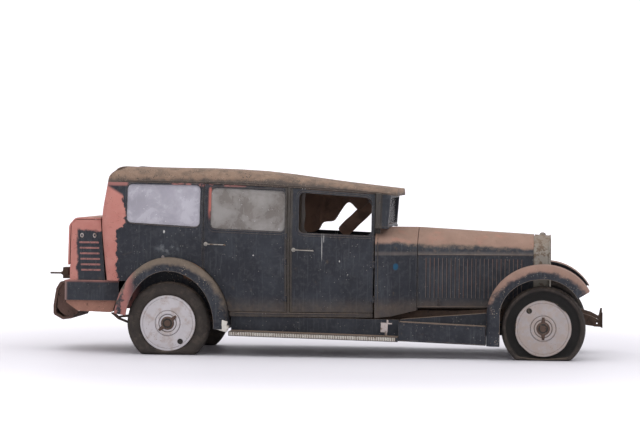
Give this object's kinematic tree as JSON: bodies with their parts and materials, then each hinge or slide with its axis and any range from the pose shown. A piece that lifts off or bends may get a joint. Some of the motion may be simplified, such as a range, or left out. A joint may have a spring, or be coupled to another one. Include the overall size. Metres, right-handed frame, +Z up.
{
  "type": "limousine car",
  "caption": "Closed four-door limousine of the early 1930s as found, with worn dark paint, flat tyres, a rear trunk and a butterfly bonnet.",
  "frame": {"origin": "on the ground under the middle of the car's overall length and width", "axes": "+X the way the car drives, +Y its left-hand side, +Z up"},
  "size_m": [5.544, 1.78, 1.8367],
  "materials": {
    "body_paint": "faded, scratched and dusty dark blue-black paint",
    "primer": "bare pink primer on worn corners",
    "roof_cover": "weathered brown roof under dust",
    "dusty_paint": "dark paint under thick dust",
    "chassis_rust": "rusty dark steel",
    "tank_rust": "salmon brown rust",
    "apron_rust": "deep dark rust",
    "wheel_alloy": "dull stained aluminium",
    "tyre_rubber": "perished and dusty",
    "dull_plating": "dull tarnished plating",
    "core_metal": "sooty radiator core",
    "window_glass": "dusty glass",
    "floor_wood": "dry old boards",
    "seat_cloth": "faded torn cloth",
    "wheel_rim_wood": "dark worn rim"
  },
  "bodies": {
    "chassis": {"frame_rails": "chassis_rust", "bumper_brackets": "chassis_rust", "cross_members": "chassis_rust", "front_axle": "chassis_rust", "rear_axle": "chassis_rust", "leaf_springs": "chassis_rust", "engine": "chassis_rust", "exhaust": "chassis_rust", "fuel_tank": "tank_rust", "radiator_shell": "dull_plating", "radiator_core": "core_metal", "scuttle": "body_paint", "floor": "floor_wood", "left_quarter_panel": "body_paint", "right_quarter_panel": "body_paint", "back_panel": "primer", "roof": "roof_cover", "windscreen_frame": "body_paint", "door_frames": "body_paint", "partition": "floor_wood", "front_seat": "seat_cloth", "rear_seat": "seat_cloth", "dashboard": "floor_wood", "steering_column": "chassis_rust", "front_fenders": "body_paint", "rear_fenders": "body_paint", "running_boards": "body_paint", "side_aprons": "body_paint", "trunk": "body_paint", "rear_deck": "body_paint", "rear_apron": "apron_rust", "spare_wheel_carrier": "chassis_rust", "fixed_glass": "window_glass"},
    "left_knuckle": {"left_knuckle": "chassis_rust"},
    "right_knuckle": {"right_knuckle": "chassis_rust"},
    "tie_rod": {"tie_rod": "chassis_rust"},
    "steering_wheel": {"steering_wheel": "wheel_rim_wood"},
    "front_left_wheel": {"front_left_wheel": "wheel_alloy", "front_left_tyre": "tyre_rubber"},
    "front_right_wheel": {"front_right_wheel": "wheel_alloy", "front_right_tyre": "tyre_rubber"},
    "rear_left_wheel": {"rear_left_wheel": "wheel_alloy", "rear_left_tyre": "tyre_rubber"},
    "rear_right_wheel": {"rear_right_wheel": "wheel_alloy", "rear_right_tyre": "tyre_rubber"},
    "left_front_door": {"left_front_door": "body_paint"},
    "left_rear_door": {"left_rear_door": "body_paint", "left_rear_door_glass": "window_glass"},
    "left_bonnet_top": {"left_bonnet_top": "dusty_paint"},
    "left_bonnet_side": {"left_bonnet_side": "body_paint"},
    "right_front_door": {"right_front_door": "body_paint"},
    "right_rear_door": {"right_rear_door": "body_paint", "right_rear_door_glass": "window_glass"},
    "right_bonnet_top": {"right_bonnet_top": "dusty_paint"},
    "right_bonnet_side": {"right_bonnet_side": "body_paint"},
    "trunk_lid": {"trunk_lid": "primer"}
  },
  "joints": [
    {"name": "left_steer", "type": "hinge", "parent": "chassis", "child": "left_knuckle", "pos_m": [2.202, 0.61, 0.31], "axis": [0, 0, 1], "range_deg": [-28, 28]},
    {"name": "right_steer", "type": "hinge", "parent": "chassis", "child": "right_knuckle", "pos_m": [2.202, -0.61, 0.31], "axis": [0, 0, 1], "range_deg": [-28, 28]},
    {"name": "tie_rod_pivot", "type": "hinge", "parent": "left_knuckle", "child": "tie_rod", "pos_m": [2.032, 0.61, 0.22], "axis": [0, 0, 1], "range_deg": [-28, 28]},
    {"name": "steering_wheel_turn", "type": "hinge", "parent": "chassis", "child": "steering_wheel", "pos_m": [0.439, 0.33, 1.01], "axis": [-0.788, 0, 0.6157], "range_deg": [-336, 336]},
    {"name": "front_left_wheel_spin", "type": "hinge", "parent": "left_knuckle", "child": "front_left_wheel", "pos_m": [2.202, 0.72, 0.31], "axis": [0, 1, 0], "continuous": true},
    {"name": "front_right_wheel_spin", "type": "hinge", "parent": "right_knuckle", "child": "front_right_wheel", "pos_m": [2.202, -0.72, 0.31], "axis": [0, 1, 0], "continuous": true},
    {"name": "rear_left_wheel_spin", "type": "hinge", "parent": "chassis", "child": "rear_left_wheel", "pos_m": [-1.448, 0.72, 0.31], "axis": [0, 1, 0], "continuous": true},
    {"name": "rear_right_wheel_spin", "type": "hinge", "parent": "chassis", "child": "rear_right_wheel", "pos_m": [-1.448, -0.72, 0.31], "axis": [0, 1, 0], "continuous": true},
    {"name": "left_front_door_hinge", "type": "hinge", "parent": "chassis", "child": "left_front_door", "pos_m": [0.557, 0.68168, 0.9], "axis": [0, 0, -1], "range_deg": [0, 66]},
    {"name": "left_rear_door_hinge", "type": "hinge", "parent": "chassis", "child": "left_rear_door", "pos_m": [-0.295, 0.74795, 0.9], "axis": [0, 0, -1], "range_deg": [0, 66]},
    {"name": "left_bonnet_top_hinge", "type": "hinge", "parent": "chassis", "child": "left_bonnet_top", "pos_m": [0.961, 0, 1.257], "axis": [0.9984, 0, -0.0561], "range_deg": [0, 45]},
    {"name": "left_bonnet_side_hinge", "type": "hinge", "parent": "left_bonnet_top", "child": "left_bonnet_side", "pos_m": [0.961, 0.492, 1.002], "axis": [0.9905, -0.1374, 0], "range_deg": [-45, 0]},
    {"name": "right_front_door_hinge", "type": "hinge", "parent": "chassis", "child": "right_front_door", "pos_m": [0.557, -0.68168, 0.9], "axis": [0, 0, 1], "range_deg": [0, 66]},
    {"name": "right_rear_door_hinge", "type": "hinge", "parent": "chassis", "child": "right_rear_door", "pos_m": [-0.295, -0.74795, 0.9], "axis": [0, 0, 1], "range_deg": [0, 66]},
    {"name": "right_bonnet_top_hinge", "type": "hinge", "parent": "chassis", "child": "right_bonnet_top", "pos_m": [0.961, 0, 1.257], "axis": [-0.9984, 0, 0.0561], "range_deg": [0, 45]},
    {"name": "right_bonnet_side_hinge", "type": "hinge", "parent": "right_bonnet_top", "child": "right_bonnet_side", "pos_m": [0.961, -0.492, 1.002], "axis": [-0.9905, -0.1374, 0], "range_deg": [-45, 0]},
    {"name": "trunk_lid_hinge", "type": "hinge", "parent": "chassis", "child": "trunk_lid", "pos_m": [-2.148, 0, 1.332], "axis": [0, 1, 0], "range_deg": [0, 80]}
  ],
  "couplings": [
    {"joint": "right_steer", "follows": "left_steer", "ratio": 1},
    {"joint": "tie_rod_pivot", "follows": "left_steer", "ratio": -1},
    {"joint": "steering_wheel_turn", "follows": "left_steer", "ratio": 12},
    {"joint": "left_bonnet_side_hinge", "follows": "left_bonnet_top_hinge", "ratio": -1},
    {"joint": "right_bonnet_side_hinge", "follows": "right_bonnet_top_hinge", "ratio": -1}
  ]
}
